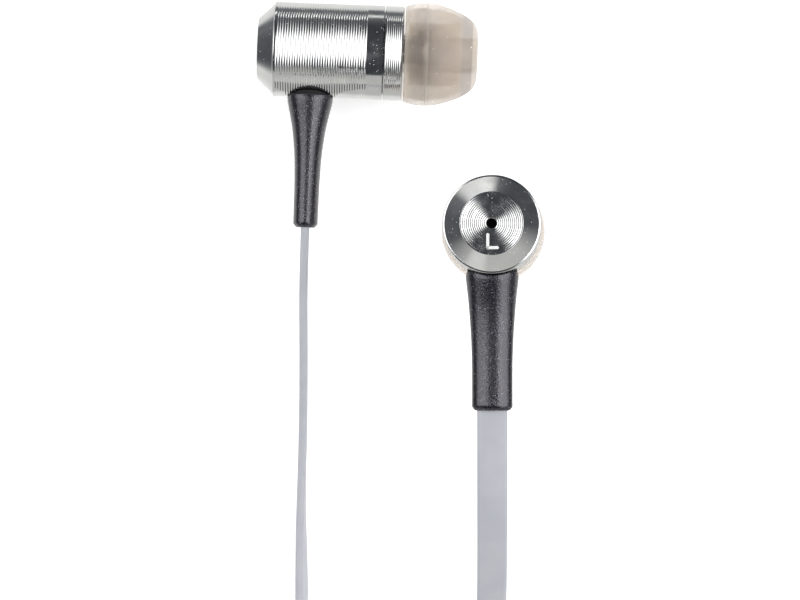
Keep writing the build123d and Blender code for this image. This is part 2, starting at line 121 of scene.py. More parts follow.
# ear tip
TIP_R = 5.75
TIP_START = 16.45
TIP_WALL = 0.55
TIP_INNER_R = TIP_R - TIP_WALL
TIP_BORE_R = 2.82
TIP_MOUTH_R = 1.95
SEAM_Z = 19.0  # parting line of the skirt
SEAM_HALF = (0.07, 0.03)  # half its width at the skirt and at its crest
SEAM_PROUD = 0.035
SLEEVE_R = 3.5
SLEEVE_START = TIP_START + 0.45
SLEEVE_EDGE = 0.12
SLEEVE_SHOULDER = 19.0
SEAT_Z = NOZZLE_END + 0.15  # the step that the nozzle's end stops against
SEAT_EDGE = 0.1
# outlines of the tip as (radius, height), from the skirt's edge over the nose and into the mouth
TIP_SKIRT = ((TIP_R - 0.4, TIP_START + 0.08), (5.6, 17.25), (5.73, 18.0), (TIP_R, 18.55))
NOSE_START = (TIP_R - 0.01, SEAM_Z + 0.2)
TIP_NOSE = (NOSE_START, (5.62, 20.2), (5.2, 21.6), (4.68, 22.85), (4.18, 23.68), (3.82, 24.1))
TIP_FRONT = ((3.76, 24.15), (3.3, 24.45), (2.7, 24.64), (2.2, 24.66), (TIP_MOUTH_R, 24.4))
TIP_HOLLOW = (
    *((SLEEVE_R, 21.9), (3.62, 22.5), (4.0, 22.78), (4.4, 22.45), (4.85, 21.2)),
    *((TIP_INNER_R, 18.9), (TIP_INNER_R - 0.02, 18.0), (TIP_INNER_R - 0.35, TIP_START + 0.05)),
)
TIP_RIM = ((TIP_INNER_R - 0.3, TIP_START), (TIP_R - 0.5, TIP_START))
# (height, share): how solid the tip's outside and its inside look, and then the painted shade (below 0)
# and painted light (above 0) of its inside and its outside
TIP_MILK = ((16.6, 0.42), (17.3, 0.24), (19.2, 0.24), (20.8, 0.40), (22.6, 0.46), (23.1, 0.52), (24.1, 0.55))
TIP_INSIDE = ((17.0, 0.13), (17.7, 0.25), (18.9, 0.25), (20.8, 0.14), (22.5, 0.16))
# painted shade inside the tip, darkest round the nozzle
TIP_INSIDE_SHADE = ((17.0, 0.0), (17.7, -0.95), (18.9, -0.95), (20.3, -0.3), (22.5, -0.1))
# painted light at the rear rim and at the front lip, and a darker band just before the lip
TIP_OUTSIDE_LIGHT_AND_SHADE = ((16.6, 0.5), (17.1, 0.0), (22.7, 0.0), (23.0, -0.35), (24.0, -0.35), (24.12, 0.6))
SEAM_MILK = 0.36
# painted highlight along the seam's ridge
SEAM_HIGHLIGHT = 0.45
MOUTH_MILK = 0.04  # the mouth's own wall hardly shows

# strain relief: distance from the earbud's axis, width across it, width along it
BOOT_Z = 6.05
BOOT_END = 20.0
BOOT_GAP = 0.08  # from the shell to the saddle
BOOT_RIM = 5.1  # where the straight rim starts, below the saddle's near-black band of painted shade
RIM_CLEAR = 0.05  # least distance from the saddle to the rim
RIM_ROUND = 0.1
# inset and step of the near-black band, painted shade in the gap under the rim
SHADE_BAND_INSET = 0.22
SHADE_BAND_STEP = 0.02
SADDLE_INSET = 1.2  # how far the saddle reaches in under the boot
BOOT_CHAMFER = 0.38
BOOT_SECTIONS = (
    (4.0, 5.9, 5.7),
    (5.6, 5.8, 5.2),
    (7.5, 5.3, 4.35),
    (9.2, 5.0, 3.65),
    (12.0, 4.6, 3.05),
    (15.0, 4.4, 2.82),
    (BOOT_END, 4.4, 2.75),
)
# rings of the rounded lower end: distance short of it, and inset
BOOT_NOSE = ((0.06, BOOT_CHAMFER * 0.7), (0.0, BOOT_CHAMFER * 0.9), (0.0, 0.8))
SQUARENESS = 2.35  # of the boot's oval

# side letter
MARK_TOP = 1.05
MARK_TALL = 1.72
MARK_WIDE = 1.35
MARK_SHIFT = 0.1  # to the letter's right
MARK_WAIST = 0.42  # height of the middle bar, as a share of the letter's
MARK_LEG = 0.35  # from the stem to where the slanted leg starts
MARK_STROKE = 0.33
MARK_INSET = 0.98  # strokes a little narrower than the CAD letter's
MARK_PROUD = 0.01
MARK_DEEP = 0.05

# flat cable and its winding
CABLE_W = 3.3
CABLE_T = 0.9
CABLE_CORNER = 0.36
CABLE_Z = 2.25  # middle of the cable where its tie lifts it
REST_Z = 1.72  # middle of the cable where it rests on the table on edge
HANK_X = -7.68
HANK_TOP = -76.0
HANK_BOTTOM = -136.0
LANE_R = 17.9
LEFT_LANE_X = HANK_X + LANE_R
RIGHT_LANE_X = LEFT_LANE_X - 1.2
SPLIT_Y = (-112.0, -126.0)
TWIST_Y = -62.0
TWIST_END_Y = -72.5
LANE_RUN = 15  # from a fold to the control points of the straight runs
LANE_CLEAR = 2  # least distance from a cord's end to its next control point
LIFT_RUN = 10  # length over which the winding rises from its folds
FOLD_STEPS = 8  # control points of a fold
LINE_STEPS = 10  # points of a line between two of its control points
LEFT_LANE_Y = -67.0  # where each branch reaches its lane, and where the main cable leaves its own
RIGHT_LANE_Y = -78.0
MAIN_LANE_Y = -79.0
RIGHT_TIP = 11  # degrees that the right cable tips off upright
RIGHT_TIP_Y = ((-30.0, -44.0), (-46.0, -54.0))  # where it tips and where it comes back
PLUG_X = HANK_X + LANE_R - 8.5
PLUG_Z = 6.95

# moulding where the branches join
SPLIT_RINGS = 57
SPLIT_AROUND = 40
SPLIT_POWER = 0.45  # squareness of its section
SPLIT_END = (0.35, 0.5)  # rounded ends: inset and length
SPLIT_RIB = 0.09
SPLIT_RIB_WAVES = 14
SPLIT_RIB_SPAN = (0.18, 0.82)

# plug
BARREL_BORE_R = 1.0
BARREL_SEAT = (2.2, 2.0)  # radius and depth of the hole that the boot goes in
BARREL_EDGE = (0.1, 0.4)
BARREL_GROOVE_START = 2.2
BARREL_GROOVES = 30
BARREL_PITCH = 0.30
PLUG_BOOT_START = (1.3, 2.3)  # half widths where the cable enters
PLUG_BOOT_R = 2.55  # at the barrel
PLUG_BOOT_RINGS = 73
PLUG_BOOT_AROUND = 56
PLUG_BOOT_GROOVE = 0.22
PLUG_BOOT_GROOVE_SPAN = (0.08, 0.68)
PLUG_BOOT_END = (0.25, 0.03)  # rounded end: inset, and length as a share of the whole

# tie
STRAP_T = 0.6
STRAP_ARC_STEPS = 12
STRAP_SIDE_STEPS = 24
STRAP_INSET = 0.98
# corners of its section as (outwards, along the hank), in shares of its thickness and width
STRAP_SECTION = (
    *((0.5, 0.46), (0.5, 0.0), (0.5, -0.46), (0.3, -0.5), (-0.3, -0.5)),
    *((-0.5, -0.46), (-0.5, 0.0), (-0.5, 0.46), (-0.3, 0.5), (0.3, 0.5)),
)

# routes of the free stretches
RIGHT_ROUTE = (
    (-10.762, -2.628, 5.754),
    (-11.012, -9.123, 5.754),
    (-10.96, -17.0, 4.6),
    (-11.08, -25.5, 2.9),
    (-11.38, -34.5, 1.85),
    (-11.30, -42.0, 1.72),
    (-11.28, -49.5, 1.75),
    (-9.32, -54.0, 1.85),
    (-5.73, -57.4, 1.98),
    (0.28, -59.6, 2.10),
    (5.94, -64.95, 2.20),
    (RIGHT_LANE_X, -72.1, CABLE_Z),
)
LEFT_ROUTE = (
    (9.912, -22.775, 19.423),
    (9.912, -29.373, 19.588),
    (9.97, -36.2, 17.6),
    (10.07, -42.0, 13.1),
    (10.12, -47.3, 8.0),
    (10.20, -52.0, 4.0),
    (LEFT_LANE_X, -57.5, CABLE_Z),
    (LEFT_LANE_X, TWIST_Y, CABLE_Z),
)
MAIN_ROUTE = (
    (PLUG_X, -83.0, CABLE_Z),
    (PLUG_X - 0.20, -90.5, CABLE_Z),
    (PLUG_X - 0.12, -98.5, CABLE_Z),
    (PLUG_X - 0.04, -103.5, 3.4),
    (PLUG_X, -108.5, 5.6),
    (PLUG_X, -113.0, PLUG_Z),
    (PLUG_X, -117.5, PLUG_Z),
)

# lanes of each cord, as distances inwards from the outermost one: right side, left side, ...
LEFT_LANES = (0.0, 0.0, 2.4)
RIGHT_LANES = (1.2, 1.2, 3.6)
MAIN_LANES = (3.0, 2.4, 4.9, 3.6, 6.1, 4.8, 7.3, 6.0, 8.5)


# ---- camera and light --------------------


SENSOR = 36.0
LENS = 137.4
CAMERA_PLACE = (-0.00008, -0.01081, 0.350)  # in metres; the camera looks straight down


def add_camera():
    """The main camera, straight above the earbuds."""
    data = bpy.data.cameras.new("camera")
    data.sensor_width = SENSOR
    data.lens = LENS
    data.clip_start = 0.01
    camera = bpy.data.objects.new("camera", data)
    camera.location = CAMERA_PLACE
    bpy.context.scene.collection.objects.link(camera)
    bpy.context.scene.camera = camera


class Nodes:
    """Short way to add and link the shader nodes of one material or world."""

    def __init__(self, owner):
        owner.use_nodes = True
        self.tree = owner.node_tree
        self.tree.nodes.clear()

    def add(self, kind, inputs=None, **settings):
        node = self.tree.nodes.new(kind)
        for key, value in settings.items():
            setattr(node, key, value)
        for key, value in (inputs or {}).items():
            if isinstance(value, bpy.types.NodeSocket):
                self.tree.links.new(value, node.inputs[key])
            else:
                node.inputs[key].default_value = value
        return node

    def math(self, operation, *values):
        return self.add("ShaderNodeMath", dict(enumerate(values)), operation=operation).outputs[0]

    def dot(self, a, b):
        node = self.add("ShaderNodeVectorMath", {0: a, 1: b}, operation="DOT_PRODUCT")
        return node.outputs["Value"]

    def ramp(self, value, low, high, start=0.0, end=1.0):
        """Smooth step from start to end as value goes from low to high."""
        inputs = {"Value": value, "From Min": low, "From Max": high, "To Min": start, "To Max": end}
        return self.add("ShaderNodeMapRange", inputs, interpolation_type="SMOOTHSTEP").outputs[0]

    def blend(self, share, a, b):
        """Colour mix of a and b."""
        node = self.add("ShaderNodeMix", data_type="RGBA")
        for socket, value in zip((node.inputs[0], node.inputs[6], node.inputs[7]), (share, a, b)):
            if isinstance(value, bpy.types.NodeSocket):
                self.tree.links.new(value, socket)
            else:
                socket.default_value = value
        return node.outputs[2]


# Studio surroundings, as seen by the object. Each patch has (azimuth, half width, softness) in
# degrees, its (lower edge, softness, tilt) and (upper edge, softness) as the height of the direction
# (1 straight up, 0 at the horizon), and its light.
STUDIO = (
    ((-11, 43, 17), (0.38, 0.25, 0.30), (0.89, 0.03), (2.60, 2.60, 2.60)),  # right softbox
    ((166, 34, 16), (0.43, 0.27, 0.30), (0.89, 0.03), (2.30, 2.30, 2.30)),  # left softbox
    ((0, 41, 12), (0.915, 0.012, 0.0), (0.965, 0.012), (6.5, 6.5, 6.5)),  # right strip lamp
    ((176, 41, 12), (0.915, 0.012, 0.0), (0.965, 0.012), (4.5, 4.5, 4.5)),  # left strip lamp
    ((35, 38, 14), (-0.16, 0.06, 0.0), (0.12, 0.05), (0.075, 0.08, 0.09)),  # dark flag at the upper right
    ((180, 20, 16), (-0.16, 0.06, 0.0), (0.12, 0.05), (0.095, 0.10, 0.11)),  # dark flag at the left
    ((111, 12, 20), (-0.15, 0.04, 0.0), (-0.01, 0.03), (1.75, 1.75, 1.71)),  # card at the upper left
    ((278, 55, 28), (-0.72, 0.10, 0.0), (0.47, 0.03), (0.60, 0.60, 0.58)),  # pale card below
    ((247, 9, 9), (-0.20, 0.08, 0.0), (0.12, 0.06), (0.84, 0.84, 0.81)),  # its brighter end
)
OVERHEAD = (0.050, 0.053, 0.060, 1.0)
HORIZON = (0.17, 0.175, 0.185, 1.0)
BELOW = (0.92, 0.92, 0.90, 1.0)
BELOW_TILT = 0.18  # the table's far side starts lower than its near side
# heights between which the overhead light turns into the horizon's, and that into the table's
OVERHEAD_FADE = (0.5, -0.1)
BELOW_FADE = (-0.26, -0.50)
BACKDROP = 0.95
FLOOR_GLOW = 0.50  # a light table, so that shadows stay faint
FLOOR_R = 2.0  # in metres, like the next
FLOOR_Z = -0.00005


def add_world():
    """Soft studio light from all round, with a plain pale backdrop behind the object."""
    world = bpy.data.worlds.new("studio")
    bpy.context.scene.world = world
    nodes = Nodes(world)
    direction = nodes.add("ShaderNodeTexCoord").outputs["Generated"]
    parts = nodes.add("ShaderNodeSeparateXYZ", {0: direction}).outputs
    height = parts["Z"]

    def leaned(tilt):
        return nodes.math("ADD", height, nodes.math("MULTIPLY", parts["Y"], tilt))

    flat = nodes.add("ShaderNodeVectorMath", {0: direction, 1: (1, 1, 0)}, operation="MULTIPLY").outputs[0]
    flat = nodes.add("ShaderNodeVectorMath", {0: flat}, operation="NORMALIZE").outputs[0]
    light = nodes.blend(nodes.ramp(height, *OVERHEAD_FADE), OVERHEAD, HORIZON)
    light = nodes.blend(nodes.ramp(leaned(BELOW_TILT), *BELOW_FADE), light, BELOW)
    for (azimuth, half, soft), (low, low_fade, tilt), (high, high_fade), colour in STUDIO:
        middle = (math.cos(math.radians(azimuth)), math.sin(math.radians(azimuth)), 0)
        outer, inner = math.cos(math.radians(half + soft)), math.cos(math.radians(half - soft))
        across = nodes.ramp(nodes.dot(flat, middle), outer, inner)
        rise = nodes.ramp(leaned(tilt) if tilt else height, low - low_fade, low + low_fade)
        fall = nodes.ramp(height, high + high_fade, high - high_fade)
        share = nodes.math("MULTIPLY", across, nodes.math("MULTIPLY", rise, fall))
        light = nodes.blend(share, light, (*colour, 1.0))
    backdrop = nodes.add("ShaderNodeBackground", {"Color": (1, 1, 1, 1), "Strength": BACKDROP})
    studio = nodes.add("ShaderNodeBackground", {"Color": light, "Strength": 1.0})
    seen = nodes.add("ShaderNodeLightPath").outputs["Is Camera Ray"]
    mixed = nodes.add("ShaderNodeMixShader", {0: seen, 1: studio.outputs[0], 2: backdrop.outputs[0]})
    nodes.add("ShaderNodeOutputWorld", {"Surface": mixed.outputs[0]})


def add_floor():
    """The white light table that the earphones lie on."""
    bpy.ops.mesh.primitive_circle_add(
        vertices=96, radius=FLOOR_R, fill_type="NGON", location=(0, 0, FLOOR_Z)
    )
    floor = bpy.context.object
    floor.name = "floor"
    material = bpy.data.materials.new("floor_paper")
    nodes = Nodes(material)
    shader = nodes.add("ShaderNodeBsdfPrincipled", {"Base Color": (0.93, 0.93, 0.93, 1), "Roughness": 1.0})
    shader.inputs["Specular IOR Level"].default_value = 0.0
    shader.inputs["Emission Color"].default_value = (1, 1, 1, 1)
    shader.inputs["Emission Strength"].default_value = FLOOR_GLOW
    nodes.add("ShaderNodeOutputMaterial", {"Surface": shader.outputs[0]})
    floor.data.materials.append(material)
    floor.visible_glossy = False


# ---- mesh helpers --------------------


def make_piece(name, points, faces, material, sharp=30.0):
    """A mesh piece in the row frame, smooth apart from edges sharper than an angle in degrees."""
    mesh = bpy.data.meshes.new(name)
    mesh.from_pydata([tuple(p) for p in points], [], faces)
    shape = bmesh.new()
    shape.from_mesh(mesh)
    bmesh.ops.recalc_face_normals(shape, faces=shape.faces)
    shape.to_mesh(mesh)
    shape.free()
    mesh.shade_smooth()
    mesh.set_sharp_from_angle(angle=math.radians(sharp))
    mesh.materials.append(material)
    piece = bpy.data.objects.new(name, mesh)
    bpy.context.scene.collection.objects.link(piece)
    return piece


def ring_faces(rows, around, closed, first=0):
    """Quads between rows of closed rings of points; closed joins the last ring to the first."""
    faces = []
    for i in range(rows if closed else rows - 1):
        a = first + i * around
        b = first + (i + 1) % rows * around
        for j in range(around):
            k = (j + 1) % around
            faces.append((a + j, a + k, b + k, b + j))
    return faces


def tube_faces(rows, around):
    """Faces of an open tube of rings, closed by a flat end at its first and its last ring."""
    end = rows * around
    faces = ring_faces(rows, around, False)
    faces += [tuple(range(around)), tuple(range(end - 1, end - around - 1, -1))]
    return faces


def placed(points, matrix):
    """Points of an earbud's own frame, in millimetres, moved into the row frame."""
    points = np.asarray(points, float).reshape(-1, 3)
    rotation = np.array(matrix.to_3x3())
    return points @ rotation.T + np.array(matrix.translation)


def lathe_piece(name, outline, matrix, material, sharp=8.0, segments=SEGMENTS):
    """A closed outline of (radius, height) points, turned about Z."""
    angles = np.arange(segments) * 2 * math.pi / segments
    circle = np.stack([np.cos(angles), np.sin(angles)], 1)
    points = [(r * c, r * s, z) for r, z in outline for c, s in circle]
    faces = ring_faces(len(outline), segments, True)
    return make_piece(name, placed(points, matrix), faces, material, sharp)


def earbud_matrix(side):
    """From an earbud's own frame in millimetres to the row frame in metres."""
    mount = next(m for m in frame["record"]["mounts"] if m["name"] == f"{side}_ear_canal")
    forward = Vector(mount["axis"]).normalized()
    lean = Vector((0, 1, LEFT_LEAN if side == "left" else 0))
    across = lean.cross(forward).normalized()
    rotation = Matrix((across, forward.cross(across), forward)).transposed().to_4x4()
    origin = Vector(mount["pos_m"]) - forward * CANAL_Z
    return Matrix.Translation(origin) @ rotation @ Matrix.Scale(MM, 4)


# ---- materials --------------------


def new_material(name, colour, roughness, **values):
    """A Principled material, its node helper and its shader; values are further shader inputs."""
    material = bpy.data.materials.new(name)
    nodes = Nodes(material)
    shader = nodes.add("ShaderNodeBsdfPrincipled", {"Base Color": (*colour, 1), "Roughness": roughness})
    for key, value in values.items():
        shader.inputs[key.replace("_", " ")].default_value = value
    nodes.add("ShaderNodeOutputMaterial", {"Surface": shader.outputs[0]})
    return material, nodes, shader


def place_noise(nodes, scale, detail=2.0, roughness=0.5):
    """Noise fixed to the piece, scale in features per metre."""
    where = nodes.add("ShaderNodeTexCoord").outputs["Object"]
    inputs = {"Vector": where, "Scale": scale, "Detail": detail, "Roughness": roughness}
    return nodes.add("ShaderNodeTexNoise", inputs).outputs[0]


def link_bump(nodes, shader, height, distance):
    """Bump of the shader's surface, distance in metres for a height of 1."""
    bump = nodes.add("ShaderNodeBump", {"Height": height, "Distance": distance, "Strength": 1.0})
    nodes.tree.links.new(bump.outputs[0], shader.inputs["Normal"])


def specks(nodes, scale, size, share):
    """1 on sparse round specks, 0 elsewhere; scale is in cells per metre, size is a speck's radius in
    cells, and share says how many of the cells have one."""
    where = nodes.add("ShaderNodeTexCoord").outputs["Object"]
    cells = nodes.add("ShaderNodeTexVoronoi", {"Vector": where, "Scale": scale})
    draw = nodes.add("ShaderNodeSeparateColor", {0: cells.outputs["Color"]}).outputs[0]
    chosen = nodes.math("LESS_THAN", draw, share)
    return nodes.math("MULTIPLY", chosen, nodes.ramp(cells.outputs["Distance"], size, size * 0.4))


def aluminium(name, roughness):
    """Bright turned aluminium: fine variation of shine, a little dust that catches the light."""
    material, nodes, shader = new_material(name, (0.73, 0.735, 0.73), roughness, Metallic=1.0)
    cloud = place_noise(nodes, 900.0, 4.0)
    shine = nodes.ramp(cloud, 0.3, 0.75, roughness * 0.75, roughness * 1.5)
    dust = nodes.math("MAXIMUM", specks(nodes, 2600.0, 0.17, 0.5), specks(nodes, 900.0, 0.07, 0.3))
    tint = nodes.ramp(place_noise(nodes, 400.0, 2.0), 0.35, 0.7)
    metal = nodes.blend(tint, (0.70, 0.705, 0.71, 1), (0.75, 0.75, 0.74, 1))
    nodes.tree.links.new(nodes.blend(dust, metal, (0.75, 0.75, 0.74, 1)), shader.inputs["Base Color"])
    nodes.tree.links.new(nodes.math("SUBTRACT", 1.0, dust), shader.inputs["Metallic"])
    rough = nodes.math("MAXIMUM", shine, nodes.math("MULTIPLY", dust, 0.5))
    nodes.tree.links.new(rough, shader.inputs["Roughness"])
    link_bump(nodes, shader, place_noise(nodes, 2500.0, 2.0), 6e-7)
    return material


def white_ink():
    """White ink of the side letter, a little worn."""
    material, nodes, shader = new_material("white_ink", (0.93, 0.93, 0.92), 0.5)
    link_bump(nodes, shader, place_noise(nodes, 9000.0), 4e-6)
    wear = nodes.ramp(place_noise(nodes, 5000.0, 3.0), 0.25, 0.4)
    colour = nodes.blend(wear, (0.78, 0.78, 0.79, 1), (0.94, 0.94, 0.93, 1))
    nodes.tree.links.new(colour, shader.inputs["Base Color"])
    return material


def silicone():
    """Milky see-through rubber; the mesh's "milk" says how solid it looks, its "pale" how much painted
    light (1, paler) and painted shade (-1, darker) is laid on its colour."""
    material, nodes, shader = new_material("silicone", (0.60, 0.53, 0.465), 0.32)
    shader.inputs["Subsurface Weight"].default_value = 0.6
    shader.inputs["Subsurface Radius"].default_value = (1.0, 0.85, 0.7)
    shader.inputs["Subsurface Scale"].default_value = 0.0008
    cloud = nodes.ramp(place_noise(nodes, 350.0, 3.0), 0.3, 0.7)
    rubber = nodes.blend(cloud, (0.585, 0.52, 0.46, 1), (0.665, 0.585, 0.505, 1))
    # pale paints light into the colour towards a light cream, and shade towards a dark grey-blue
    pale = nodes.add("ShaderNodeAttribute", attribute_name="pale").outputs["Fac"]
    rubber = nodes.blend(pale, rubber, (0.82, 0.78, 0.72, 1))
    rubber = nodes.blend(nodes.math("MULTIPLY", pale, -1.0), rubber, (0.13, 0.13, 0.165, 1))
    # white specks: some dust, and painted glints where the rubber's small wrinkles catch the light
    dust = nodes.math("MAXIMUM", specks(nodes, 900.0, 0.11, 0.20), specks(nodes, 2500.0, 0.16, 0.07))
    nodes.tree.links.new(nodes.blend(dust, rubber, (1, 1, 0.98, 1)), shader.inputs["Base Color"])
    link_bump(nodes, shader, place_noise(nodes, 3000.0, 3.0), 6e-6)
    clear = nodes.add("ShaderNodeBsdfTransparent", {"Color": (1.0, 0.98, 0.955, 1)})
    milk = nodes.add("ShaderNodeAttribute", attribute_name="milk").outputs["Fac"]
    solid = nodes.math("MAXIMUM", milk, dust)
    mixed = nodes.add("ShaderNodeMixShader", {0: solid, 1: clear.outputs[0], 2: shader.outputs[0]})
    output = next(n for n in nodes.tree.nodes if n.type == "OUTPUT_MATERIAL")
    nodes.tree.links.new(mixed.outputs[0], output.inputs["Surface"])
    return material


def flecked_rubber():
    """Charcoal moulded rubber with a fine eroded grain that glints, and pale specks painted in as glints."""
    material, nodes, shader = new_material("boot_rubber", (0.02, 0.019, 0.023), 0.2)
    shader.inputs["Specular IOR Level"].default_value = 1.0
    shader.inputs["Specular Tint"].default_value = (0.95, 0.93, 1.0, 1.0)
    grain = place_noise(nodes, 4900.0, 2.0, 0.7)
    # pale specks painted into the colour as glints
    painted_glints = nodes.math("MAXIMUM", specks(nodes, 5500.0, 0.42, 0.15), specks(nodes, 3000.0, 0.16, 0.3))
    peak = nodes.ramp(grain, 0.42, 0.70)
    colour = nodes.blend(peak, (0.005, 0.0045, 0.0065, 1), (0.030, 0.028, 0.043, 1))
    nodes.tree.links.new(nodes.blend(painted_glints, colour, (0.24, 0.23, 0.28, 1)), shader.inputs["Base Color"])
    nodes.tree.links.new(nodes.ramp(grain, 0.35, 0.65, 0.24, 0.15), shader.inputs["Roughness"])
    link_bump(nodes, shader, grain, 3.2e-5)
    return material


def cable_jacket():
    """Pale grey satin jacket."""
    material, nodes, shader = new_material("cable_jacket", (0.50, 0.51, 0.56), 0.42)
    cloud = nodes.ramp(place_noise(nodes, 350.0, 3.0), 0.3, 0.7)
    colour = nodes.blend(cloud, (0.49, 0.50, 0.55, 1), (0.525, 0.535, 0.575, 1))
    nodes.tree.links.new(colour, shader.inputs["Base Color"])
    shader.inputs["Subsurface Weight"].default_value = 0.15
    shader.inputs["Subsurface Radius"].default_value = (1.0, 1.0, 1.0)
    shader.inputs["Subsurface Scale"].default_value = 0.0004
    link_bump(nodes, shader, place_noise(nodes, 5000.0, 2.0), 4e-6)
    return material


def speckled(name, colour, other, roughness, scale, bump, **values):
    """Simple two-tone material with a fine surface, for the inner pieces and the plug."""
    material, nodes, shader = new_material(name, colour, roughness, **values)
    cloud = nodes.ramp(place_noise(nodes, scale, 3.0), 0.35, 0.65)
    nodes.tree.links.new(nodes.blend(cloud, (*colour, 1), (*other, 1)), shader.inputs["Base Color"])
    link_bump(nodes, shader, place_noise(nodes, scale * 3, 2.0), bump)
    return material


def woven(name, colour, other, pitch):
    """Cloth of crossing threads, pitch in metres."""
    material, nodes, shader = new_material(name, colour, 0.85)
    shader.inputs["Specular IOR Level"].default_value = 0.05
    where = nodes.add("ShaderNodeTexCoord").outputs["Object"]
    scale = math.pi / pitch
    parts = nodes.add("ShaderNodeSeparateXYZ", {0: where}).outputs
    waves = [nodes.math("SINE", nodes.math("MULTIPLY", parts[i], scale)) for i in range(3)]
    level = nodes.math("MULTIPLY", waves[0], waves[1])
    upright = nodes.math("MULTIPLY", waves[1], waves[2])
    cloth = nodes.math("ADD", level, upright)
    threads = nodes.blend(nodes.ramp(cloth, -0.6, 0.6), (*colour, 1), (*other, 1))
    nodes.tree.links.new(threads, shader.inputs["Base Color"])
    link_bump(nodes, shader, cloth, pitch * 0.15)
    return material


# ---- earbud pieces --------------------


def grooved(radius, start, count, pitch, depth, chance):
    """Outline of a row of V grooves with narrow flats at crest and root, each a little uneven."""
    outline = []
    for i in range(count):
        z = start + i * pitch
        low = radius - depth * chance.uniform(0.88, 1.0)
        middle = z + pitch * chance.uniform(0.47, 0.53)
        outline += [(radius, z - pitch * CREST), (radius, z + pitch * CREST)]
        outline += [(low, middle - pitch * ROOT), (low, middle + pitch * ROOT)]
    end = start + count * pitch
    return outline + [(radius, end - pitch * CREST)]


def rear_shell(side, matrix, material):
    """Turned cup: ringed rear face, wide chamfer, fine grooves and a plain band."""
    chance = random.Random(11 if side == "left" else 23)
    pitch = (FACE_R - VENT_R - FACE_MARGIN) / FACE_RINGS
    outline = [(VENT_R, REAR_WALL), (VENT_R, VENT_EDGE), (VENT_R + VENT_EDGE, 0.0)]
    for i in range(FACE_RINGS):
        r = VENT_R + FACE_RING_GAP + i * pitch
        deep = FACE_RING_DEPTH * chance.uniform(0.8, 1.0)
        root, root_end, end = (r + pitch * share for share in FACE_RING_SHARES)
        outline += [(r, 0), (root, deep), (root_end, deep), (end, 0)]
    outline += [(FACE_R - FACE_EDGE[0], 0.0), (FACE_R, FACE_EDGE[1])]
    edge_r = BODY_R - EDGE
    outline += [(edge_r - LEDGE, LEDGE_Z[0]), (edge_r, LEDGE_Z[1])]
    for degrees in range(8, 90, 15):  # rounded edge
        turn = math.radians(degrees)
        outline.append((BODY_R - EDGE * (1 - math.sin(turn)), EDGE_Z + EDGE * (1 - math.cos(turn))))
    outline += [(BODY_R, CHAMFER_Z + EDGE)]
    outline += grooved(BODY_R, GROOVE_START, GROOVES, GROOVE_PITCH, GROOVE_DEPTH, chance)
    outline += [(BODY_R, BAND_START), (BODY_R, BAND_END - BAND_EDGE)]
    outline += [(BODY_R - BAND_EDGE, BAND_END), (BORE_R, BAND_END), (BORE_R, BORE_START)]
    outline += [(BORE_FLOOR_R, REAR_WALL)]
    piece = lathe_piece(f"{side}_rear_shell_turned", outline, matrix, material)
    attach(piece, "earphones")
    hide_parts(f"{side}_rear_shell")


def front_shell(side, matrix, material):
    """Turned front ring with finer grooves, and the sound nozzle with its collar."""
    chance = random.Random(5 if side == "left" else 6)
    outline = [(SPIGOT_R, SPIGOT_Z), (SPIGOT_R, BAND_END - BAND_EDGE), (SPIGOT_R - SPIGOT_STEP, RING_START)]
    outline += [(BODY_R - RING_EDGE, RING_START), (BODY_R, RING_START + RING_EDGE)]
    outline += grooved(BODY_R, RING_START + RING_MARGIN, RING_GROOVES, RING_PITCH, RING_DEPTH, chance)
    outline += [(BODY_R, RING_END - RING_MARGIN), (BODY_R - RING_MARGIN, RING_END)]
    outline += [(NECK_R, RING_END), (NECK_R, COLLAR_Z), (COLLAR_R - COLLAR_EDGE, COLLAR_Z)]
    outline += [(COLLAR_R, COLLAR_Z + COLLAR_EDGE), (COLLAR_R, COLLAR_Z + COLLAR_FLAT)]
    outline += [(COLLAR_R - COLLAR_TAPER, COLLAR_Z + COLLAR_LONG), (NECK_R, NOZZLE_END - NOZZLE_LEAD)]
    outline += [(NECK_R - NOZZLE_LEAD_R, NOZZLE_END), (SOUND_R, NOZZLE_END)]
    outline += [(SOUND_R, FUNNEL_END), (CAVITY_R, CAVITY_END), (CAVITY_R, SPIGOT_Z)]
    piece = lathe_piece(f"{side}_front_shell_turned", outline, matrix, material)
    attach(piece, "earphones")
    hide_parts(f"{side}_front_shell")


def side_mark(side, matrix, material):
    """Plain white side letter, of strokes with rounded ends, laid in the rear face."""
    left, low = -MARK_WIDE / 2 + MARK_SHIFT, -MARK_TOP - MARK_TALL
    half = MARK_STROKE / 2
    x0, x1 = left + half, left + MARK_WIDE - half
    y0, y1 = low + half, low + MARK_TALL - half
    waist = low + MARK_TALL * MARK_WAIST + half
    strokes = [((x0, y0), (x0, y1))]
    if side == "left":
        strokes += [((x0, y0), (x1, y0))]
    else:
        strokes += [((x0, y1), (x1, y1)), ((x0, waist), (x1, waist)), ((x1, waist), (x1, y1))]
        strokes += [((x0 + MARK_LEG, waist), (x1, y0))]
    points, faces = [], []
    for (ax, ay), (bx, by) in strokes:
        heading = math.atan2(by - ay, bx - ax)
        start = len(points)
        ends = [(bx, by, heading - math.pi / 2), (ax, ay, heading + math.pi / 2)]
        outline = []
        for cx, cy, first in ends:
            for i in range(9):
                turn = first + math.pi * i / 8
                x = cx + half * MARK_INSET * math.cos(turn)
                outline.append((x, cy + half * MARK_INSET * math.sin(turn)))
        count = len(outline)
        for z in (-MARK_PROUD, MARK_DEEP):
            points += [(-x, y, z) for x, y in outline]
        faces.append(tuple(range(start, start + count)))
        faces.append(tuple(range(start + 2 * count - 1, start + count - 1, -1)))
        faces += ring_faces(2, count, False, start)
    piece = make_piece(f"{side}_side_letter", placed(points, matrix), faces, material)
    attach(piece, "earphones")
    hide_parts(f"{side}_side_mark")


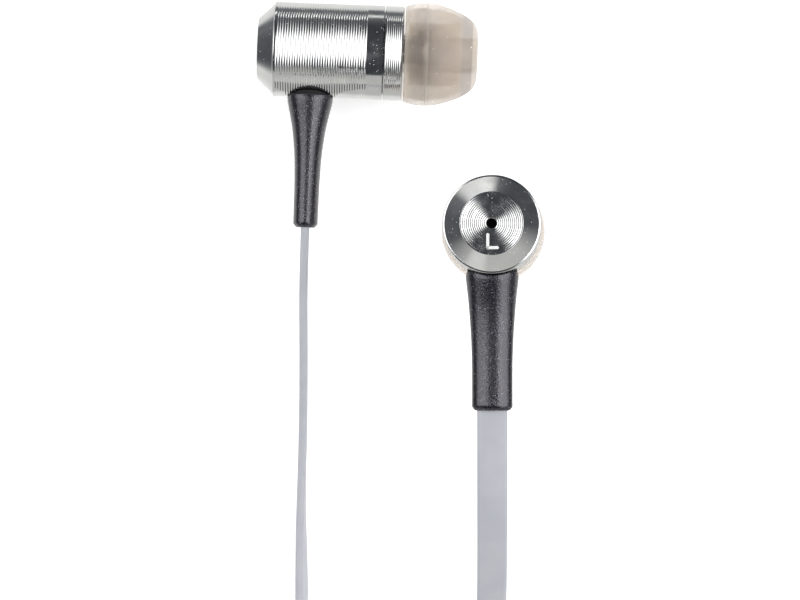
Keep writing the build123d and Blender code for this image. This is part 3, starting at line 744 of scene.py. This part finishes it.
def arc_points(points, steps):
    """A smooth line through a few (radius, height) points, by Catmull-Rom curves."""
    p = [np.array(q, float) for q in points]
    p = [2 * p[0] - p[1], *p, 2 * p[-1] - p[-2]]
    line = []
    for i in range(1, len(p) - 2):
        for k in range(steps):
            t = k / steps
            a, b, c, d = p[i - 1], p[i], p[i + 1], p[i + 2]
            square, cube = 2 * a - 5 * b + 4 * c - d, 3 * b - a - 3 * c + d
            line.append(0.5 * (2 * b + (c - a) * t + square * t**2 + cube * t**3))
    line.append(p[-2])
    return [tuple(q) for q in line]


def ear_tip(side, matrix, material):
    """Soft tip: a skirt with its parting line, folded back over a central sleeve."""
    skirt = arc_points(TIP_SKIRT, 5)
    foot, crest = SEAM_HALF
    seam = [(TIP_R, SEAM_Z - foot), (TIP_R + SEAM_PROUD, SEAM_Z - crest)]
    seam += [(TIP_R + SEAM_PROUD, SEAM_Z + crest), (TIP_R, SEAM_Z + foot)]
    nose = arc_points(TIP_NOSE, 5)
    front = arc_points(TIP_FRONT, 4)
    bore = [(TIP_MOUTH_R, SEAT_Z + SEAT_EDGE), (TIP_MOUTH_R + SEAT_EDGE, SEAT_Z), (TIP_BORE_R, SEAT_Z)]
    bore += [(TIP_BORE_R, SLEEVE_START + SEAT_EDGE), (TIP_BORE_R + SLEEVE_EDGE, SLEEVE_START)]
    bore += [(SLEEVE_R - SLEEVE_EDGE, SLEEVE_START), (SLEEVE_R, SLEEVE_START + SLEEVE_EDGE)]
    bore += [(SLEEVE_R, SLEEVE_SHOULDER)]
    hollow = arc_points(TIP_HOLLOW, 4)
    outline = skirt + seam + nose + front + bore + hollow + list(TIP_RIM)
    name = f"{side}_ear_tip_moulded"
    piece = lathe_piece(name, outline, matrix, material, sharp=50.0, segments=TIP_SEGMENTS)
    milk = piece.data.attributes.new("milk", "FLOAT", "POINT")
    # pale, filled from white below, holds each ring's painted light (above 0) and painted shade (below 0)
    pale = piece.data.attributes.new("pale", "FLOAT", "POINT")
    inside = len(skirt) + len(seam) + len(nose) + len(front)
    for i, (radius, height) in enumerate(outline):
        seamed = len(skirt) <= i < len(skirt) + len(seam)
        if i >= inside:
            solid, white = np.interp(height, *zip(*TIP_INSIDE)), np.interp(height, *zip(*TIP_INSIDE_SHADE))
            if radius < TIP_MOUTH_R + 2 * SEAT_EDGE:
                solid = MOUTH_MILK
        else:
            solid = SEAM_MILK if seamed else np.interp(height, *zip(*TIP_MILK))
            white = SEAM_HIGHLIGHT if seamed else np.interp(height, *zip(*TIP_OUTSIDE_LIGHT_AND_SHADE))
        for k in range(TIP_SEGMENTS):
            milk.data[i * TIP_SEGMENTS + k].value = solid
            pale.data[i * TIP_SEGMENTS + k].value = white
    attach(piece, f"{side}_tip")
    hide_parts(f"{side}_ear_tip")


def boot_widths(far):
    """Half widths of the strain relief at a distance from the earbud's axis."""
    distance, wide, thin = zip(*BOOT_SECTIONS)
    reach = 12
    count = 2 * reach + 1
    smooth = []
    for values in (wide, thin):
        fine = np.linspace(distance[0], distance[-1], 200)
        plain = np.interp(fine, distance, values)
        soft = np.convolve(np.pad(plain, reach, mode="edge"), np.ones(count) / count, mode="valid")
        smooth.append(np.interp(far, fine, soft) / 2)
    return smooth


def boot(side, matrix, material, painted_gap_shade):
    """Oval strain relief: a saddle that follows the shell, a taper and a rounded lower end."""
    around, rows = 72, 60
    turn = np.arange(around) * 2 * math.pi / around
    across = np.sign(np.cos(turn)) * np.abs(np.cos(turn)) ** (2 / SQUARENESS)
    along = np.sign(np.sin(turn)) * np.abs(np.sin(turn)) ** (2 / SQUARENESS)
    saddle_r = BODY_R + BOOT_GAP
    top = np.full(around, saddle_r)
    for _ in range(6):
        wide = np.array([boot_widths(t)[0] for t in top])
        top = np.sqrt(saddle_r**2 - (across * wide) ** 2)
    points = []

    def add_ring(distance, inset):
        wide, thin = np.array([boot_widths(d) for d in distance]).T
        x = across * (wide - inset)
        z = along * (thin - inset) + BOOT_Z
        points.extend(zip(x, -distance, z))

    # a near-black band of painted shade follows the shell in the gap, and the boot starts below it with a
    # straight rim
    saddle_far = saddle_r * np.sqrt(1 - (across * wide / saddle_r) ** 2)
    rim_far = np.maximum(BOOT_RIM, saddle_far + RIM_CLEAR)
    for inset in (SADDLE_INSET, SHADE_BAND_INSET):
        add_ring(np.sqrt(saddle_r**2 - (across * (wide - inset)) ** 2), inset)
    add_ring(rim_far + SHADE_BAND_STEP, SHADE_BAND_INSET)
    shade_band_rings = len(points) // around - 1
    for i in range(5):
        tilt = math.pi / 2 * i / 4
        inset = RIM_ROUND * (1 - math.cos(tilt)) if i else RIM_ROUND
        add_ring(rim_far + RIM_ROUND * (1 - math.sin(tilt)), inset)
    start = rim_far + RIM_ROUND
    for i in range(1, rows):
        share = i / (rows - 1)
        add_ring(start + (BOOT_END - BOOT_CHAMFER - start) * share, 0.0)
    for short, inset in BOOT_NOSE:
        add_ring(np.full(around, BOOT_END - short), inset)
    faces = tube_faces(len(points) // around, around)
    piece = make_piece(f"{side}_boot_moulded", placed(points, matrix), faces, material, 60.0)
    piece.data.materials.append(painted_gap_shade)
    # the band's faces get the near-black painted shade
    for face in piece.data.polygons[: shade_band_rings * around]:
        face.material_index = 1
    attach(piece, "earphones")
    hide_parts(f"{side}_boot")


# ---- cable --------------------


def smooth_line(name, points):
    """Points along the smooth line that has these control points, in metres."""
    curve = bpy.data.curves.new(name, "CURVE")
    curve.dimensions = "3D"
    curve.resolution_u = LINE_STEPS
    spline = curve.splines.new("NURBS")
    spline.points.add(len(points) - 1)
    for point, place in zip(spline.points, points):
        point.co = (*(c * MM for c in place), 1)
    spline.order_u = 3
    spline.use_endpoint_u = True
    holder = bpy.data.objects.new(name, curve)
    bpy.context.scene.collection.objects.link(holder)
    mesh = bpy.data.meshes.new_from_object(holder)
    line = np.array([v.co for v in mesh.vertices], float)
    bpy.data.objects.remove(holder)
    bpy.data.curves.remove(curve)
    bpy.data.meshes.remove(mesh)
    return line


def lane_x(side, inwards):
    """x of a lane: side 1 is the right of the winding and -1 its left."""
    return HANK_X + side * (LANE_R - inwards)


def lane_z(y):
    """Height of the winding: lifted by the tie and the split, resting on the table at its folds."""
    lift = min(max((y - HANK_BOTTOM) / LIFT_RUN, 0), max((HANK_TOP - y) / LIFT_RUN, 0), 1)
    return REST_Z + (CABLE_Z - REST_Z) * lift * lift * (3 - 2 * lift)


def winding(lanes, first_y, last_y):
    """Control points of turns round the hank: down the right side, round, up the left side, round."""
    half_step = math.pi / FOLD_STEPS / 2
    points = []
    for i, inwards in enumerate(lanes):
        side = 1 if i % 2 == 0 else -1
        x = lane_x(side, inwards)
        last = i == len(lanes) - 1
        far_x = None if last else lane_x(-side, lanes[i + 1])
        radius = LANE_R if last else abs(x - far_x) / 2
        lead = radius * math.tan(half_step)
        enter, leave = (HANK_TOP, HANK_BOTTOM) if side == 1 else (HANK_BOTTOM, HANK_TOP)
        middle_y = (HANK_TOP + HANK_BOTTOM) / 2
        run = [enter - side * lead, enter - side * LANE_RUN, middle_y]
        run += [leave + side * LANE_RUN, leave + side * lead]
        if i == 0:
            run = [first_y] + [y for y in run if y < first_y - LANE_CLEAR]
        if last:
            run = [y for y in run if y > last_y + LANE_CLEAR] + [last_y]
        points += [(x, y, lane_z(y)) for y in run]
        if last:
            continue
        middle = (x + far_x) / 2
        for k in range(FOLD_STEPS):
            angle = math.pi * (k + 0.5) / FOLD_STEPS
            reach = radius / math.cos(half_step)
            y = leave - side * reach * math.sin(angle)
            points.append((middle + side * reach * math.cos(angle), y, REST_Z))
    return points


def flat_tube(name, line, lean, material):
    """Flat cable along a line; lean gives how far its wide side is turned up from level, in radians."""
    section = []
    for cx, cz, first in ((1, 1, 0), (-1, 1, 90), (-1, -1, 180), (1, -1, 270)):
        for k in range(5):
            turn = math.radians(first + 22.5 * k)
            x = cx * (CABLE_W / 2 - CABLE_CORNER) + CABLE_CORNER * math.cos(turn)
            z = cz * (CABLE_T / 2 - CABLE_CORNER) + CABLE_CORNER * math.sin(turn)
            section.append((x * MM, z * MM))
    heading = np.gradient(line, axis=0)
    heading /= np.linalg.norm(heading, axis=1)[:, None]
    side = np.cross(heading, (0, 0, 1.0))
    side /= np.linalg.norm(side, axis=1)[:, None]
    rise = np.cross(side, heading)
    wide = side * np.cos(lean)[:, None] + rise * np.sin(lean)[:, None]
    thin = np.cross(heading, wide)
    points = [line + x * wide + z * thin for x, z in section]
    points = np.stack(points, 1).reshape(-1, 3)
    return make_piece(name, points, tube_faces(len(line), len(section)), material, 80.0)


def step_down(line, high, low):
    """From 0 to 1 as the line first comes down from one y to another, and 1 from there on."""
    share = np.clip((high * MM - line[:, 1]) / ((high - low) * MM), 0, 1)
    share = share * share * (3 - 2 * share)
    return np.maximum.accumulate(share)


def cords(jacket):
    """The two branches and the main cable, each one flat cord from end to end."""
    upright = math.pi / 2
    left_turns = winding(LEFT_LANES, TWIST_END_Y, SPLIT_Y[0])
    left = smooth_line("left_line", [*LEFT_ROUTE, (LEFT_LANE_X, LEFT_LANE_Y, CABLE_Z), *left_turns])
    left_cord = flat_tube("left_cord", left, upright * step_down(left, TWIST_Y + 1, TWIST_END_Y), jacket)
    right = smooth_line("right_line", [*RIGHT_ROUTE, *winding(RIGHT_LANES, RIGHT_LANE_Y, SPLIT_Y[0])])
    tips, comes_back = RIGHT_TIP_Y
    turned = step_down(right, *tips) - step_down(right, *comes_back)
    right_cord = flat_tube("right_cord", right, upright - math.radians(RIGHT_TIP) * turned, jacket)
    main = smooth_line("main_line", [*winding(MAIN_LANES, SPLIT_Y[1], MAIN_LANE_Y), *MAIN_ROUTE])
    main_cord = flat_tube("main_cord", main, np.full(len(main), upright), jacket)
    for cord, nodes in (
        (left_cord, ("left_cable", "left_cable_twist")),
        (right_cord, ("right_cable",)),
        (main_cord, ("main_cable", "cable_hank")),
    ):
        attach(cord, "earphones")
        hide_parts(*nodes)
    return (left_cord, left), (right_cord, right), (main_cord, main)


def y_split(material):
    """Moulding where the branches join: a rounded oblong with grip ribs."""
    low, high = (Vector(c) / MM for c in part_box("y_split"))
    middle, size = (low + high) / 2, high - low
    turn = np.arange(SPLIT_AROUND) * 2 * math.pi / SPLIT_AROUND
    sx = np.sign(np.cos(turn)) * np.abs(np.cos(turn)) ** SPLIT_POWER
    sz = np.sign(np.sin(turn)) * np.abs(np.sin(turn)) ** SPLIT_POWER
    end_inset, end_long = SPLIT_END
    points = []
    for i in range(SPLIT_RINGS):
        t = i / (SPLIT_RINGS - 1)
        end = min(t, 1 - t) * size.y
        inset = end_inset * (1 - math.sqrt(max(0.0, 1 - (1 - min(end / end_long, 1)) ** 2)))
        ribbed = SPLIT_RIB_SPAN[0] < t < SPLIT_RIB_SPAN[1]
        rib = SPLIT_RIB * max(0.0, math.sin(t * math.pi * SPLIT_RIB_WAVES)) if ribbed else 0.0
        half_x, half_z = size.x / 2 - inset - rib * 0.6, size.z / 2 - inset - rib
        y = high.y - t * size.y
        points += [(middle.x + half_x * a, y, middle.z + half_z * b) for a, b in zip(sx, sz)]
    faces = tube_faces(SPLIT_RINGS, SPLIT_AROUND)
    piece = make_piece("y_split_moulded", np.array(points) * MM, faces, material, 60.0)
    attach(piece, "earphones")
    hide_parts("y_split")
    return piece


def plug_barrel(material):
    """Turned barrel with a row of fine grooves, like the earbuds' shells."""
    low, high = (Vector(c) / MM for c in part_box("plug_barrel"))
    radius, long = (high.x - low.x) / 2, high.y - low.y
    chance = random.Random(3)
    small, wide = BARREL_EDGE
    seat_r, seat_deep = BARREL_SEAT
    outline = [(BARREL_BORE_R, 0.0), (radius - wide, 0.0), (radius - small, small), (radius, wide)]
    outline += grooved(radius, BARREL_GROOVE_START, BARREL_GROOVES, BARREL_PITCH, GROOVE_DEPTH, chance)
    outline += [(radius, long - wide), (radius - 0.3, long - 0.08), (radius - wide, long)]
    outline += [(seat_r, long), (seat_r, long - seat_deep), (BARREL_BORE_R, long - seat_deep)]
    centre = Vector(((low.x + high.x) / 2, high.y, (low.z + high.z) / 2)) * MM
    rotation = Matrix.Rotation(math.pi / 2, 4, "X")
    matrix = Matrix.Translation(centre) @ rotation @ Matrix.Scale(MM, 4)
    piece = lathe_piece("plug_barrel_turned", outline, matrix, material)
    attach(piece, "earphones")
    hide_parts("plug_barrel")
    return piece


def plug_boot(material):
    """Strain relief on the plug, from the flat cable's oval to the round barrel, with relief rings."""
    low, high = (Vector(c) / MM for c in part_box("plug_boot"))
    middle = (low + high) / 2
    turn = np.arange(PLUG_BOOT_AROUND) * 2 * math.pi / PLUG_BOOT_AROUND
    start_x, start_z = PLUG_BOOT_START
    groove_from, groove_to = PLUG_BOOT_GROOVE_SPAN
    end_inset, end_long = PLUG_BOOT_END
    points = []
    for i in range(PLUG_BOOT_RINGS):
        t = i / (PLUG_BOOT_RINGS - 1)
        y = high.y - t * (high.y - low.y)
        ease = t * t * (3 - 2 * t)
        half_x = start_x + (PLUG_BOOT_R - start_x) * ease
        half_z = start_z + (PLUG_BOOT_R - start_z) * ease
        wave = max(0.0, math.sin((t - groove_from) * math.pi * 10)) ** 0.7
        groove = PLUG_BOOT_GROOVE * wave if groove_from < t < groove_to else 0.0
        shrink = groove + end_inset * max(0.0, 1 - t / end_long)
        points += [
            (middle.x + (half_x - shrink) * math.cos(a), y, middle.z + (half_z - shrink) * math.sin(a))
            for a in turn
        ]
    faces = tube_faces(PLUG_BOOT_RINGS, PLUG_BOOT_AROUND)
    piece = make_piece("plug_boot_moulded", np.array(points) * MM, faces, material, 50.0)
    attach(piece, "earphones")
    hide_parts("plug_boot")
    return piece


def tie_strap(material):
    """Woven strap round the whole hank."""
    low, high = (Vector(c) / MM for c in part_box("cable_tie"))
    centre_x, centre_y, centre_z = ((a + b) / 2 for a, b in zip(low, high))
    wide = high.y - low.y
    corner = (high.z - low.z) / 2 - STRAP_T / 2
    straight = (high.x - low.x) / 2 - STRAP_T / 2 - corner
    path = []
    for sign in (1, -1):
        for k in range(STRAP_ARC_STEPS + 1):
            a = -math.pi / 2 + math.pi * k / STRAP_ARC_STEPS
            path.append((sign * (straight + corner * math.cos(a)), sign * corner * math.sin(a)))
        for k in range(1, STRAP_SIDE_STEPS):
            t = k / STRAP_SIDE_STEPS
            path.append((sign * straight * (1 - 2 * t), sign * corner))
    points = []
    count = len(path)
    for i, (x, z) in enumerate(path):
        before, after = path[i - 1], path[(i + 1) % count]
        tx, tz = after[0] - before[0], after[1] - before[1]
        size = math.hypot(tx, tz)
        nx, nz = tz / size, -tx / size
        for out, y in STRAP_SECTION:
            offset = out * STRAP_T * STRAP_INSET
            points.append((centre_x + x + nx * offset, centre_y + y * wide, centre_z + z + nz * offset))
    faces = ring_faces(count, len(STRAP_SECTION), True)
    piece = make_piece("tie_strap_woven", np.array(points) * MM, faces, material, 50.0)
    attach(piece, "earphones")
    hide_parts("cable_tie")
    return piece


# ---- everything --------------------


def paint_inner_pieces(finishes):
    """Gives every CAD node that is still shown a procedural finish, by its record slot."""
    slots = {p["node"]: p.get("material_slot") for p in frame["record"]["subparts"]}
    for name, node in frame["nodes"].items():
        if node.hide_render:
            continue
        node.data.materials.clear()
        node.data.materials.append(finishes[slots[name]])


bpy.context.scene.view_settings.view_transform = "Standard"
add_camera()
add_world()
add_floor()

shell = aluminium("turned_aluminium", 0.13)
jacket = cable_jacket()
rubber = flecked_rubber()
tip_rubber = silicone()
ink = white_ink()
# near-black, painted as the shade in the gap between the shell and the boot's rim
painted_gap_shade = speckled("painted_gap_shade", (0.003, 0.003, 0.003), (0.007, 0.007, 0.007), 0.8, 4000.0, 4e-6)
steel = speckled("plated_steel", (0.50, 0.51, 0.52), (0.58, 0.58, 0.58), 0.28, 900.0, 2e-6, Metallic=1.0)
plating = speckled("magnet_plating", (0.62, 0.62, 0.63), (0.70, 0.70, 0.70), 0.2, 700.0, 1e-6, Metallic=1.0)
wire = speckled("enamelled_wire", (0.70, 0.35, 0.18), (0.80, 0.45, 0.25), 0.3, 5000.0, 2e-5, Metallic=1.0)
contact = speckled("contact_plating", (0.83, 0.82, 0.79), (0.88, 0.87, 0.84), 0.12, 500.0, 8e-7, Metallic=1.0)
FINISHES = {
    "turned_aluminium": shell,
    "white_ink": ink,
    "silicone": tip_rubber,
    "boot_rubber": rubber,
    "cable_jacket": jacket,
    "cloth": woven("damping_cloth", (0.001, 0.001, 0.001), (0.003, 0.003, 0.003), 0.00012),
    "steel": steel,
    "magnet": plating,
    "copper": wire,
    "film": speckled("cone_film", (0.72, 0.69, 0.58), (0.78, 0.75, 0.66), 0.2, 800.0, 2e-6),
    "board": speckled("solder_mask", (0.03, 0.20, 0.08), (0.05, 0.26, 0.11), 0.3, 1500.0, 4e-6),
    "black_plastic": speckled("black_plastic", (0.02, 0.02, 0.022), (0.035, 0.035, 0.037), 0.4, 3000.0, 8e-6),
    "contact_metal": contact,
}

for side in ("right", "left"):
    matrix = earbud_matrix(side)
    rear_shell(side, matrix, shell)
    front_shell(side, matrix, shell)
    side_mark(side, matrix, ink)
    ear_tip(side, matrix, tip_rubber)
    boot(side, matrix, rubber, painted_gap_shade)

left, right, main = cords(jacket)
split = y_split(rubber)
plug_pieces = [plug_barrel(shell), plug_boot(rubber)]
plug_nodes = [node for name, node in frame["nodes"].items() if name.startswith("plug_")]
plug_pieces += [node for node in plug_nodes if not node.hide_render]
tie_strap(woven("tie_cloth", (0.045, 0.045, 0.05), (0.10, 0.10, 0.11), 0.0006))
paint_inner_pieces(FINISHES)
